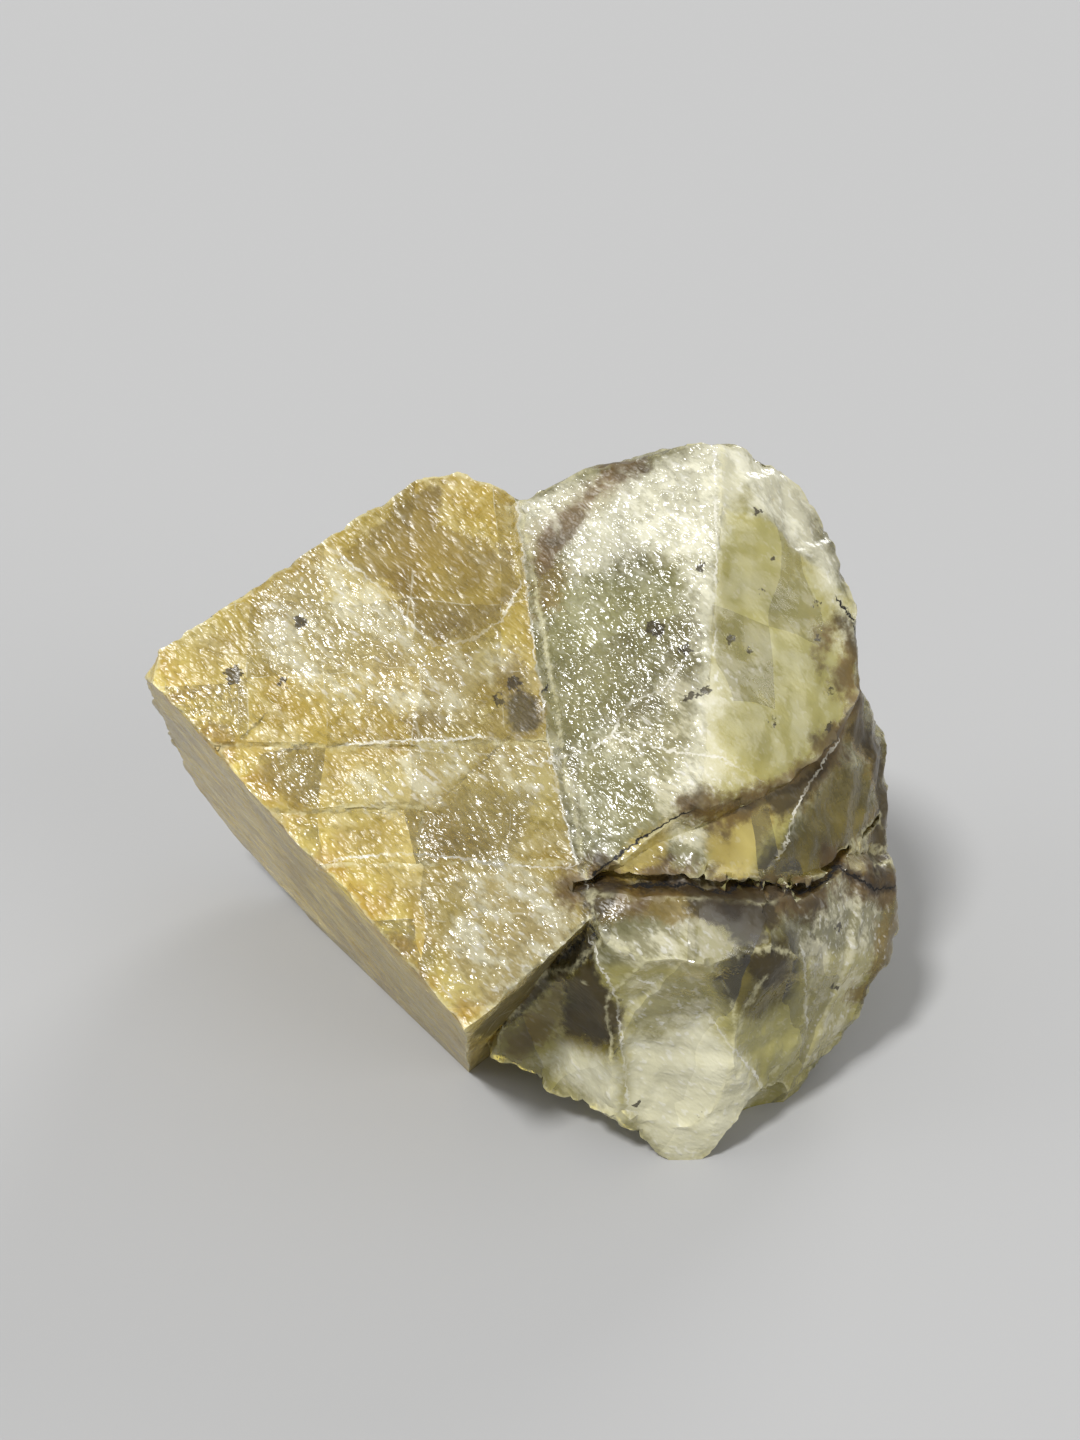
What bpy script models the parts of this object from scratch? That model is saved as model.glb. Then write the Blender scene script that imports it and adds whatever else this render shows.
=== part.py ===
"""Yellow-green fluorite: two intergrown cubes on a broken foot, one solid stone.

Run it with blender --background --python part.py, or from Blender's text editor.
Lengths below are millimetres. X runs to the right, Y to the back and Z up, and
the stone stands on Z = 0.
"""

import math

import bmesh
import bpy
from mathutils import Matrix, Vector

MM = 0.001

# The corners below are laid out from a point near the stone's middle; this carries them to
# the frame whose origin is the middle of the footprint
TO_MIDDLE = Vector((1.02, 5.0, 0.0))

# Amber cube, the crystal on the left: its front corner, and how its big face is turned
CUBE_EDGE = 40.4
CUBE_CORNER = Vector((-5.7, -31.5, 16.1))
FACE_TURN = 2.0
FACE_RISE = 48.0
FACE_SPIN = 130.85

# Cleaves on the amber cube in its own axes (u and v along the edges, w out of the face):
# a point on the cleave, then the direction it looks in
CUBE_CLEAVES = {
    "taper of the upper left side": ((40.0, 4.0, 0.0), (0.995, 0.100, 0.0)),
    "sloping top of the face": ((30.0, 18.0, 0.0), (0.005, 0.070, 0.998)),
    "broken upper corner": ((34.4, 32.4, 0.0), (0.42, 0.86, -0.28)),
    "chip at the upper corner": ((37.7, 30.4, 0.0), (0.80, 0.52, 0.30)),
    "back, cleaved": ((22.0, 22.0, -35.5), (0.577, 0.577, -0.577)),
    "back, upper cleave": ((37.0, 22.0, -17.0), (0.86, 0.46, -0.22)),
    "back, left corner": ((36.0, 6.0, -37.0), (0.70, 0.10, -0.70)),
    "lower left edge, cleaved": ((20.0, 1.2, -38.0), (-0.10, -0.60, -0.79)),
    "chip at the left corner": ((38.7, 0.5, 0.0), (0.66, -0.60, 0.45)),
}

# Ledges that cross the amber face along its diagonal cleavage: near edge, far edge,
# start and end along the edge, depth
LEDGES = {
    "wide ledge": (13.4, 23.2, -30.0, 40.0, 0.28),
    "deep ledge": (13.4, 18.0, -30.0, -3.4, 0.55),
}
LEDGE_LEAN = 41.0

# Steps on the cleaved back of the amber cube, which looks along u + v - w: middle of the
# slab that is gone, its two sides and its depth, and how far it is turned in the face
BACK_STEPS = {
    "step, high": ((35.0, 24.0, -20.5), (30.0, 22.0, 1.8), 20.0),
    "step, low": ((30.0, 8.0, -41.5), (26.0, 12.0, 1.2), 64.0),
}

# The open crack above the foot: thin slabs, each from one end to the other and so thick
CRACK = {
    "crack, left": ((2.6, -22.6, 23.7), (13.0, -23.8, 24.1), 0.55),
    "crack, right": ((12.0, -24.1, 24.2), (21.6, -19.4, 20.9), 0.50),
    "crack, side": ((20.6, -20.2, 20.7), (31.0, -8.6, 20.2), 0.40),
}
CRACK_DEPTH = 2.6

# Corners of the green crystal, the upper right of the stone
GREEN_CORNERS = {
    "seam top": (-1.7, 1.9, 46.1),
    "top edge, first bend": (3.9, 2.3, 48.5),
    "top edge, second bend": (9.2, 2.1, 50.1),
    "top edge, end": (13.4, 2.0, 51.4),
    "ridge head": (15.0, 1.5, 51.5),
    "ridge middle": (14.0, -10.7, 39.2),
    "ridge foot": (12.8, -19.6, 29.1),
    "ledge, left": (8.7, -20.5, 27.8),
    "seam foot": (3.6, -22.9, 23.7),
    "rim, inner": (14.8, -4.1, 47.5),
    "rim, inner bend": (19.3, -3.2, 46.0),
    "rim, inner end": (24.3, -6.9, 38.6),
    "rim, first": (17.5, 2.3, 50.3),
    "rim, second": (20.1, 2.7, 48.7),
    "rim, third": (21.9, 2.0, 47.0),
    "rim, fourth": (23.2, 0.8, 45.2),
    "rim, fifth": (24.4, -2.0, 42.6),
    "rim, sixth": (26.3, -4.6, 39.2),
    "shoulder": (25.8, -7.5, 36.2),
    "shoulder foot": (26.2, -9.1, 33.7),
    "ledge, right": (24.2, -12.3, 30.7),
    "ledge, middle": (20.3, -15.3, 29.1),
    "ledge, near the ridge": (17.7, -17.2, 28.1),
    "inside the cube, high": (-6.0, 4.0, 42.0),
    "inside the cube, low": (-4.0, -14.0, 24.0),
    "under the ledge, left": (8.0, -12.0, 20.0),
    "under the ledge, right": (26.0, -2.0, 24.0),
    "back, left": (-3.0, 12.0, 40.0),
    "back, top": (9.0, 13.5, 44.5),
    "back, right": (20.0, 11.0, 41.5),
    "back, side": (27.4, 4.0, 33.0),
    "back, low": (10.0, 16.0, 20.0),
}

# Corners of the block that shows between the ledge and the crack, set back under the ledge
MIDDLE_CORNERS = {
    "crack, start": (3.6, -22.2, 23.7),
    "crack, left": (7.9, -22.7, 24.2),
    "crack, middle": (12.6, -22.9, 24.1),
    "crack, bend": (17.6, -21.3, 23.0),
    "crack, right": (21.1, -18.9, 20.8),
    "crack, end": (25.4, -14.2, 20.9),
    "side of the crack": (30.1, -8.0, 17.5),
    "under the ledge, left": (8.8, -19.0, 27.4),
    "under the ledge, middle": (15.6, -16.9, 28.4),
    "under the ledge, right": (21.4, -13.2, 27.4),
    "side, head": (27.0, -5.6, 32.0),
    "side, upper": (30.2, -1.2, 24.5),
    "side, lower": (30.5, -4.8, 18.5),
    "inside, left": (-2.0, -10.0, 22.0),
    "inside, low": (4.0, -14.0, 12.0),
    "back, upper": (26.6, 5.0, 29.0),
    "back, side": (29.6, 4.0, 20.0),
    "back, lower": (20.0, 10.0, 10.0),
    "back, left": (4.0, 14.0, 14.0),
}

# Corners of the foot, the broken lower right of the stone
FOOT_CORNERS = {
    "crack, start": (3.6, -23.4, 23.5),
    "crack, left": (7.9, -24.4, 23.9),
    "crack, middle": (12.6, -24.6, 23.8),
    "crack, bend": (17.6, -23.0, 22.7),
    "crack, right": (21.1, -20.4, 20.6),
    "crack, end": (25.4, -15.6, 20.6),
    "side of the crack": (30.2, -9.3, 17.0),
    "brow, left": (4.7, -26.4, 21.4),
    "brow, middle": (9.4, -28.0, 19.4),
    "brow, ridge": (12.5, -27.8, 19.3),
    "brow, right": (18.3, -25.4, 19.4),
    "side, head": (29.0, -12.0, 17.4),
    "side, middle": (31.0, -11.7, 12.4),
    "side, low": (29.8, -14.3, 9.9),
    "side, heel": (27.2, -16.6, 5.9),
    "heel, front": (23.8, -18.5, 2.6),
    "heel, floor": (21.8, -19.7, -0.6),
    "front right, upper": (22.4, -22.2, 15.8),
    "front right, lower": (22.4, -21.4, 9.0),
    "tongue, right": (18.4, -25.4, 5.2),
    "tongue, low": (16.9, -26.5, 3.6),
    "tongue, left": (6.6, -28.2, 7.0),
    "tip, right": (14.5, -28.0, 0.8),
    "tip": (12.8, -28.3, -0.4),
    "tip, left": (11.0, -28.3, -0.4),
    "hem, first": (9.2, -28.4, 2.8),
    "hem, second": (6.2, -28.0, 4.2),
    "hem, third": (4.2, -26.8, 4.4),
    "hem, fourth": (1.2, -24.2, 4.4),
    "hem, fifth": (-4.0, -21.0, 4.6),
    "hem, inside": (-6.0, -12.0, 8.0),
    "sole, front": (9.0, -21.0, -2.0),
    "sole, left": (-2.0, -8.0, -2.0),
    "sole, right": (26.0, 2.0, -2.0),
    "sole, back": (14.0, 13.0, -2.0),
    "inside, high": (0.0, -12.0, 22.0),
    "under the crack, side": (29.8, 1.0, 17.0),
    "back, side": (30.4, 3.0, 11.0),
    "back, right": (25.0, 11.0, 8.0),
    "back, left": (-2.0, 14.0, 8.0),
}

# Corners of the root, the broken back that the crystals grow out of
ROOT_CORNERS = {
    "top, left": (-6.0, 14.0, 37.0),
    "top, middle": (6.0, 15.0, 41.5),
    "top, right": (17.0, 13.5, 40.5),
    "shoulder": (25.6, 6.5, 33.5),
    "right side, upper": (29.0, 4.5, 23.0),
    "right side, lower": (29.6, 5.0, 9.0),
    "right side, floor": (27.0, 4.0, -2.0),
    "back right, upper": (24.0, 13.5, 22.0),
    "back right, lower": (24.5, 14.5, 7.0),
    "back right, floor": (22.0, 12.0, -2.0),
    "back, upper": (9.0, 19.5, 27.0),
    "back, middle": (11.0, 21.5, 12.0),
    "back, floor": (9.0, 18.0, -2.0),
    "back left, upper": (-4.0, 19.0, 27.0),
    "back left, lower": (-5.0, 21.0, 11.0),
    "back left, floor": (-8.0, 17.5, -2.0),
    "far left, upper": (-14.0, 13.0, 24.0),
    "far left, lower": (-15.0, 13.5, 6.0),
    "inside, front": (4.0, -8.0, 12.0),
    "inside, high": (4.0, -2.0, 36.0),
}

# Shell-shaped breaks: where the ball that scoops them stands, its radius, and how it is
# stretched along X, Y and Z. These are scooped out of the foot alone
FOOT_BREAKS = {
    "hollow under the brow": ((10.5, -47.2, 12.6), 21.0, (1.0, 1.0, 1.0)),
    "olive hollow": ((29.4, -38.5, 11.4), 18.0, (1.0, 1.0, 1.1)),
    "dark hollow": ((-9.8, -39.6, 10.0), 20.0, (1.0, 1.0, 1.2)),
    "notch by the tip": ((21.0, -28.0, -1.5), 7.2, (1.0, 1.0, 1.0)),
    "undercut, front": ((2.0, -29.0, -4.2), 9.0, (1.0, 1.0, 1.0)),
    "undercut, left": ((-4.0, -24.0, -4.2), 9.0, (1.0, 1.0, 1.0)),
    "low right break": ((41.0, -27.0, 3.0), 16.0, (1.0, 1.0, 1.2)),
}

# and these out of the whole stone
BREAKS = {
    "back, upper": ((16.0, 56.0, 44.0), 41.5, (1.0, 1.0, 1.0)),
    "back, middle": ((-4.0, 60.0, 26.0), 42.0, (1.0, 1.0, 0.8)),
    "back, right": ((56.0, 30.0, 30.0), 35.5, (1.0, 1.0, 1.0)),
    "back, low right": ((36.0, 48.0, 0.0), 37.5, (1.0, 1.0, 0.7)),
    "back, low left": ((-4.0, 52.0, -10.0), 34.0, (1.2, 1.0, 0.8)),
}
BREAK_FINENESS = 4


def cube_axes():
    """The amber cube's two edge directions and the direction its big face looks in."""
    turn, rise, spin = (math.radians(a) for a in (FACE_TURN, FACE_RISE, FACE_SPIN))
    across = Vector((math.cos(turn), math.sin(turn), 0))
    out = Vector((
        math.sin(turn) * math.cos(rise),
        -math.cos(turn) * math.cos(rise),
        math.sin(rise),
    ))
    edge_u = across * math.cos(spin) + out.cross(across) * math.sin(spin)
    return edge_u, edge_u.cross(out), out


def cube_place():
    """The amber cube's own axes as a placement in the stone's frame."""
    place = Matrix(cube_axes()).transposed().to_4x4()
    place.translation = CUBE_CORNER
    return place


def cleave(bm, point, direction):
    """Breaks off what lies beyond a plane and closes the fresh face."""
    cut = bmesh.ops.bisect_plane(
        bm,
        geom=bm.verts[:] + bm.edges[:] + bm.faces[:],
        plane_co=point,
        plane_no=direction,
        clear_outer=True,
    )
    rim = [item for item in cut["geom_cut"] if isinstance(item, bmesh.types.BMEdge)]
    bmesh.ops.contextual_create(bm, geom=rim)


def amber_cube():
    """A cube with its upper corner and its back cleaved away."""
    bm = bmesh.new()
    bmesh.ops.create_cube(bm, size=CUBE_EDGE)
    half = CUBE_EDGE / 2
    bmesh.ops.translate(bm, verts=bm.verts, vec=(half, half, -half))
    for point, direction in CUBE_CLEAVES.values():
        cleave(bm, point, direction)
    bmesh.ops.transform(bm, matrix=cube_place(), verts=bm.verts)
    return bm


def chunk(corners):
    """The smallest flat-faced block that holds the named corners."""
    bm = bmesh.new()
    for corner in corners.values():
        bm.verts.new(corner)
    hull = bmesh.ops.convex_hull(bm, input=bm.verts)
    inner = [item for item in hull["geom_interior"] if isinstance(item, bmesh.types.BMVert)]
    bmesh.ops.delete(bm, geom=inner, context="VERTS")
    bmesh.ops.dissolve_limit(
        bm, angle_limit=math.radians(1.5), verts=bm.verts, edges=bm.edges
    )
    return bm


def ledge_cutter(near, far, start, end, depth):
    """A flat slab lying in the amber face, square to the diagonal cleavage."""
    bm = bmesh.new()
    bmesh.ops.create_cube(bm, size=1.0)
    bmesh.ops.scale(bm, vec=(far - near, end - start, 2 * depth), verts=bm.verts)
    bmesh.ops.translate(bm, verts=bm.verts, vec=((near + far) / 2, (start + end) / 2, 0))
    lean = Matrix.Rotation(math.radians(LEDGE_LEAN), 4, "Z")
    bmesh.ops.transform(bm, matrix=cube_place() @ lean, verts=bm.verts)
    return bm


def step_cutter(middle, size, turn):
    """A slab lying in the cleaved back of the amber cube."""
    facing = Vector((1, 1, -1)).normalized()
    bm = bmesh.new()
    bmesh.ops.create_cube(bm, size=1.0)
    width, height, depth = size
    bmesh.ops.scale(bm, vec=(width, height, 2 * depth), verts=bm.verts)
    lay = facing.to_track_quat("Z", "Y").to_matrix().to_4x4()
    lay = lay @ Matrix.Rotation(math.radians(turn), 4, "Z")
    lay.translation = middle
    bmesh.ops.transform(bm, matrix=cube_place() @ lay, verts=bm.verts)
    return bm


def crack_cutter(start, end, thickness):
    """A thin slab laid along the crack and reaching into the stone."""
    start, end = Vector(start), Vector(end)
    along = (end - start).normalized()
    inward = Vector((0, 0, 1)).cross(along).normalized()
    bm = bmesh.new()
    bmesh.ops.create_cube(bm, size=1.0)
    size = ((end - start).length, 2 * CRACK_DEPTH, thickness)
    bmesh.ops.scale(bm, vec=size, verts=bm.verts)
    place = Matrix((along, inward, along.cross(inward))).transposed().to_4x4()
    place.translation = (start + end) / 2
    bmesh.ops.transform(bm, matrix=place, verts=bm.verts)
    return bm


def ball(place, radius, stretch):
    bm = bmesh.new()
    bmesh.ops.create_icosphere(bm, subdivisions=BREAK_FINENESS, radius=radius)
    bmesh.ops.scale(bm, vec=stretch, verts=bm.verts)
    bmesh.ops.translate(bm, verts=bm.verts, vec=place)
    return bm


def ground():
    """Everything under the resting plane."""
    bm = bmesh.new()
    bmesh.ops.create_cube(bm, size=160.0)
    bmesh.ops.translate(bm, verts=bm.verts, vec=(0, 0, -80.0))
    return bm


def add(name, bm, collection):
    """Puts a block measured in millimetres into the scene in metres."""
    bmesh.ops.translate(bm, verts=bm.verts, vec=TO_MIDDLE)
    bmesh.ops.scale(bm, vec=(MM, MM, MM), verts=bm.verts)
    bmesh.ops.recalc_face_normals(bm, faces=bm.faces)
    mesh = bpy.data.meshes.new(name)
    bm.to_mesh(mesh)
    bm.free()
    block = bpy.data.objects.new(name, mesh)
    collection.objects.link(block)
    return block


def add_cutter(name, bm, collection):
    block = add(name, bm, collection)
    block.hide_render = True
    block.display_type = "WIRE"
    return block


def bring(stone, block, operation):
    """Joins a block to the stone or takes it away."""
    step = stone.modifiers.new(block.name, "BOOLEAN")
    step.operation = operation
    step.solver = "EXACT"
    step.object = block


def fluorite():
    material = bpy.data.materials.new("yellow-green fluorite")
    material.use_nodes = True
    surface = material.node_tree.nodes["Principled BSDF"]
    surface.inputs["Base Color"].default_value = (0.50, 0.44, 0.22, 1)
    surface.inputs["Roughness"].default_value = 0.35
    surface.inputs["IOR"].default_value = 1.434
    return material


def main():
    for old in list(bpy.data.objects):
        bpy.data.objects.remove(old)
    parts = bpy.data.collections.new("fluorite cluster")
    cutters = bpy.data.collections.new("cutters")
    bpy.context.scene.collection.children.link(parts)
    bpy.context.scene.collection.children.link(cutters)

    stone = add("fluorite_cluster", amber_cube(), parts)
    stone.data.materials.append(fluorite())
    for name, measures in LEDGES.items():
        bring(stone, add_cutter(name, ledge_cutter(*measures), cutters), "DIFFERENCE")
    for name, measures in BACK_STEPS.items():
        bring(stone, add_cutter(name, step_cutter(*measures), cutters), "DIFFERENCE")
    foot = add_cutter("foot", chunk(FOOT_CORNERS), cutters)
    for name, measures in FOOT_BREAKS.items():
        bring(foot, add_cutter(name, ball(*measures), cutters), "DIFFERENCE")
    root = add_cutter("root", chunk(ROOT_CORNERS), cutters)
    middle = add_cutter("middle block", chunk(MIDDLE_CORNERS), cutters)
    green = add_cutter("green crystal", chunk(GREEN_CORNERS), cutters)
    for block in (root, middle, green, foot):
        bring(stone, block, "UNION")
    for name, measures in CRACK.items():
        bring(stone, add_cutter(name, crack_cutter(*measures), cutters), "DIFFERENCE")
    for name, measures in BREAKS.items():
        bring(stone, add_cutter(name, ball(*measures), cutters), "DIFFERENCE")
    bring(stone, add_cutter("ground", ground(), cutters), "DIFFERENCE")


main()
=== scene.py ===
# %% [markdown]
# # A fluorite cluster
# The stone is one piece: an amber cube and a yellow-green crystal that grew into one
# another on a broken foot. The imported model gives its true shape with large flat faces.
# Here that shape gets the finer relief and the cloudy, stained finish of the real stone.

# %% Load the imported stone
import math

import bmesh
import bpy
import numpy as np
from mathutils import Matrix, Vector, kdtree, noise


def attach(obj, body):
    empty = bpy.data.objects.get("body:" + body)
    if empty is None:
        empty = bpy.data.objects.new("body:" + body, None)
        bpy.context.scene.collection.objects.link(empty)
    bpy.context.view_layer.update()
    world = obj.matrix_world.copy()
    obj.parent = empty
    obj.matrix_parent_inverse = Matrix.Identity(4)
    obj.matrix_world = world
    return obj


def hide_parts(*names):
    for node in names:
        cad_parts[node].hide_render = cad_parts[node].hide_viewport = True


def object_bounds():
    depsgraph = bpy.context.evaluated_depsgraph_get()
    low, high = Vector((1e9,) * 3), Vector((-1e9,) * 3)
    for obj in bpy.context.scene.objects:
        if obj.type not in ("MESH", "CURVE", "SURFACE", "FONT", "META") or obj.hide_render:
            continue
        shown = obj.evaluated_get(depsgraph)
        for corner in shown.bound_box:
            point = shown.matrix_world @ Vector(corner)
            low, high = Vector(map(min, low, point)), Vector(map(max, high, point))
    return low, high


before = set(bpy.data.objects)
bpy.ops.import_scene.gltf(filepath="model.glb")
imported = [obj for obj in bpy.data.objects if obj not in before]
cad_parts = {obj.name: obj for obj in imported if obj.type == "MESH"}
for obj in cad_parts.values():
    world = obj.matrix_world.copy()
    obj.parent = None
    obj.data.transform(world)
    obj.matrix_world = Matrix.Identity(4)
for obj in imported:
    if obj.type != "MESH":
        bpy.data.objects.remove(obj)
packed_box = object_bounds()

MM = 0.001
print("packed stone, mm:", [round((high - low) / MM, 1) for low, high in zip(*packed_box)])

# %% [markdown]
# ## A finer skin for the stone
# A broken crystal could be sculpted by hand, or its relief could be left to a bump map.
# A bump map never changes the outline, so the relief is given to the mesh itself. The
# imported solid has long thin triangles, which cannot carry it. A Remesh modifier in its
# sharp mode lays an even net of small faces over the solid and keeps its ridges.

# %% Copy, merge and remesh the stone
NET_DEPTH, NET_SCALE = 8, 0.54
MERGE_GAP = 0.001 * MM


def finer_skin(node):
    """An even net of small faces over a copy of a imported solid."""
    bm = bmesh.new()
    bm.from_mesh(node.data)
    bmesh.ops.remove_doubles(bm, verts=bm.verts, dist=MERGE_GAP)
    mesh = bpy.data.meshes.new("crystal_stone")
    bm.to_mesh(mesh)
    bm.free()
    piece = bpy.data.objects.new("crystal_stone", mesh)
    bpy.context.scene.collection.objects.link(piece)
    net = piece.modifiers.new("net", "REMESH")
    net.mode = "SHARP"
    net.octree_depth = NET_DEPTH
    net.scale = NET_SCALE
    piece_now = piece.evaluated_get(bpy.context.evaluated_depsgraph_get())
    fine = bpy.data.meshes.new_from_object(piece_now)
    piece.modifiers.clear()
    piece.data = fine
    return piece, mesh


stone, coarse = finer_skin(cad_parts["fluorite_cluster"])
count = len(stone.data.vertices)
print("net:", count, "points,", len(stone.data.polygons), "faces")

# %% Read where each point of the net is and where it faces
def read_points(what):
    """One row of three numbers for each point of the net."""
    values = np.empty(count * 3)
    stone.data.vertices.foreach_get(what, values)
    return values.reshape(-1, 3)


place = read_points("co") / MM
facing = read_points("normal")
print("points reach from", place.min(axis=0).round(1), "to", place.max(axis=0).round(1))

# %% [markdown]
# ## Which crystal is which
# The amber crystal is a cube, so its three edge directions say where it is: a point on
# its surface lies inside the cube, and every other point of the stone lies outside it.
# The two great faces of the green crystal are told by the way they look.

# %% Name the crystals and their faces
CUBE_CORNER = np.array((-4.68, -26.5, 16.1))
CUBE_EDGE = 40.4
CUBE_SKIN = 0.2
CUBE_MIDDLE = np.array((0.5, 0.5, -0.5)) * CUBE_EDGE
FACE_TURN, FACE_RISE, FACE_SPIN = (math.radians(a) for a in (2.0, 48.0, 130.85))
ALIKE = 0.95


def looking(turn, rise):
    """The direction that a face looks in: turned to the right, then raised."""
    return Vector((
        math.sin(turn) * math.cos(rise),
        -math.cos(turn) * math.cos(rise),
        math.sin(rise),
    ))


cube_out = looking(FACE_TURN, FACE_RISE)
across = Vector((math.cos(FACE_TURN), math.sin(FACE_TURN), 0))
cube_u = across * math.cos(FACE_SPIN) + cube_out.cross(across) * math.sin(FACE_SPIN)
cube_v = cube_u.cross(cube_out)
cube_axes = np.array((cube_u, cube_v, cube_out))
in_cube = (place - CUBE_CORNER) @ cube_axes.T
in_cube_by = CUBE_EDGE / 2 - np.abs(in_cube - CUBE_MIDDLE).max(axis=1) + CUBE_SKIN
print("share of the points in the cube: %.2f" % (in_cube_by > 0).mean())

# %% Tell the two great faces of the green crystal
green_front = np.array((-0.238, -0.679, 0.695))
green_right = np.array(looking(math.radians(25), math.radians(34)))


def looks_like(direction):
    """One where the skin faces a direction closely, nought where it turns away."""
    return np.clip((facing @ direction - ALIKE) / (1 - ALIKE) * 2, 0, 1)


etched_face = looks_like(green_front)
glassy_face = looks_like(green_right)
print("etched face %.2f, glassy face %.2f" % (etched_face.mean(), glassy_face.mean()))

# %% [markdown]
# ## Where the sharp edges are
# Ridges on a real crystal are chipped and catch the light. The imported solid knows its
# sharp edges, so points are strung along them like beads, and a search tree finds for
# each point of the net how far it is from the nearest one.

# %% Measure the distance to the sharp edges
SHARP = math.radians(22)
BEAD = 0.5
OFF_TABLE = 0.2


def edge_beads(mesh):
    """Points in millimetres along the outward edges of a mesh."""
    bm = bmesh.new()
    bm.from_mesh(mesh)
    beads = []
    for edge in bm.edges:
        if not edge.is_manifold or edge.calc_face_angle_signed(0) < SHARP:
            continue
        start, end = (v.co / MM for v in edge.verts)
        steps = max(1, int((end - start).length / BEAD))
        beads += [start.lerp(end, i / steps) for i in range(steps + 1)]
    bm.free()
    return beads


beads = [p for p in edge_beads(coarse) if p.z > OFF_TABLE]
tree = kdtree.KDTree(len(beads))
for i, bead in enumerate(beads):
    tree.insert(bead, i)
tree.balance()
to_edge = np.array([tree.find(p)[2] for p in place])
print(len(beads), "beads along the ridges")

# %% [markdown]
# ## A chart of the front
# Cracks, seams and patches of colour run where they run on this stone, so they are laid
# down one by one. The front is drawn on a chart, as it is seen from thirty degrees above the
# table: millimetres to the right, and millimetres up. Each mark is a short chain or a
# closed outline on that chart, and only the skin that faces the chart takes it.

# %% Lay the chart over the front
CHART_RISE = math.radians(30)
FAR = 1e3
SEEN_FROM = np.array((0.0, -math.cos(CHART_RISE), math.sin(CHART_RISE)))
chart = np.stack((
    place[:, 0],
    place[:, 1] * math.sin(CHART_RISE) + place[:, 2] * math.cos(CHART_RISE),
), axis=1)
front = np.clip((facing @ SEEN_FROM) * 5, 0, 1)
print("share of the skin on the chart: %.2f" % (front > 0).mean())


# %% Distances to chains and outlines
def to_stretch(start, end):
    """How the chart's points lie to a straight stretch: the gap and its side."""
    run = end - start
    gap = chart - start
    share = np.clip(gap @ run / (run @ run), 0, 1)
    side = run[0] * gap[:, 1] - run[1] * gap[:, 0]
    return np.linalg.norm(gap - share[:, None] * run, axis=1), np.where(side < 0, -1, 1)


def to_lines(lines):
    """Plain millimetres to the nearest chain, and the same with the sign of the side."""
    nearest, side = np.full(count, FAR), np.ones(count)
    for chain in lines.values():
        for start, end in zip(np.array(chain[:-1]), np.array(chain[1:])):
            gap, turned = to_stretch(start, end)
            closer = gap < nearest
            nearest[closer], side[closer] = gap[closer], turned[closer]
    nearest = np.where(front > 0, nearest, FAR)
    return nearest, nearest * side


def in_outlines(outlines):
    """Millimetres inside the nearest closed outline, negative outside them all."""
    depth = np.full(count, -FAR)
    for outline in outlines.values():
        corners = np.array(outline)
        nearest, crossed = np.full(count, FAR), np.zeros(count, bool)
        for start, end in zip(corners, np.roll(corners, -1, axis=0)):
            nearest = np.minimum(nearest, to_stretch(start, end)[0])
            spans = (start[1] > chart[:, 1]) != (end[1] > chart[:, 1])
            rise = end[1] - start[1] or 1e-9
            at = start[0] + (chart[:, 1] - start[1]) * (end[0] - start[0]) / rise
            crossed ^= spans & (chart[:, 0] < at)
        depth = np.maximum(depth, np.where(crossed, nearest, -nearest))
    return depth


# %% [markdown]
# ## Lines on the front
# Dark lines are open cracks and flaws, light ones are healed seams, flaws and scratches,
# with painted highlights along the ridges and the crest, and rusty ones are where iron has
# crept in. Each is a chain of points on the chart, so a line can be moved by changing a
# number, and its width is left to the finish.

# %% Lay down the dark, light and rusty lines
DARK_LINES = {
    "open crack": [
        (3.8, 11.4), (5.2, 11.8), (6.7, 11.5), (9.0, 11.5), (11.3, 11.8), (13.8, 11.4),
        (16.0, 11.1), (17.1, 11.5), (19.5, 11.3), (22.2, 10.6), (24.9, 11.6), (26.0, 12.9),
    ],
    "crack to the rim": [(26.0, 12.9), (27.6, 11.6), (29.4, 10.2), (31.0, 10.4)],
    "stain under the cube": [(-3.1, -0.3), (-0.6, 2.1), (2.2, 4.9), (4.2, 7.2)],
    "left end of the crack": [(3.8, 11.4), (4.3, 9.6), (4.9, 7.8)],
    "left flaw": [(-24.6, 21.7), (-21.5, 24.9)],
    "long flaw": [(-21.4, 22.1), (-18.4, 22.5), (-14.7, 22.9)],
    "slanting flaw": [(1.4, 27.2), (-1.0, 23.9), (-3.8, 21.1), (-7.4, 18.0)],
    "low flaw": [(-18.2, 17.6), (-12.6, 17.2), (-7.8, 17.2)],
    "amber window": [(5.1, 12.3), (7.8, 14.4), (10.5, 16.1), (12.8, 17.2)],
    "rim": [(27.6, 31.6), (27.0, 33.0), (25.8, 34.6)],
}
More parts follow.
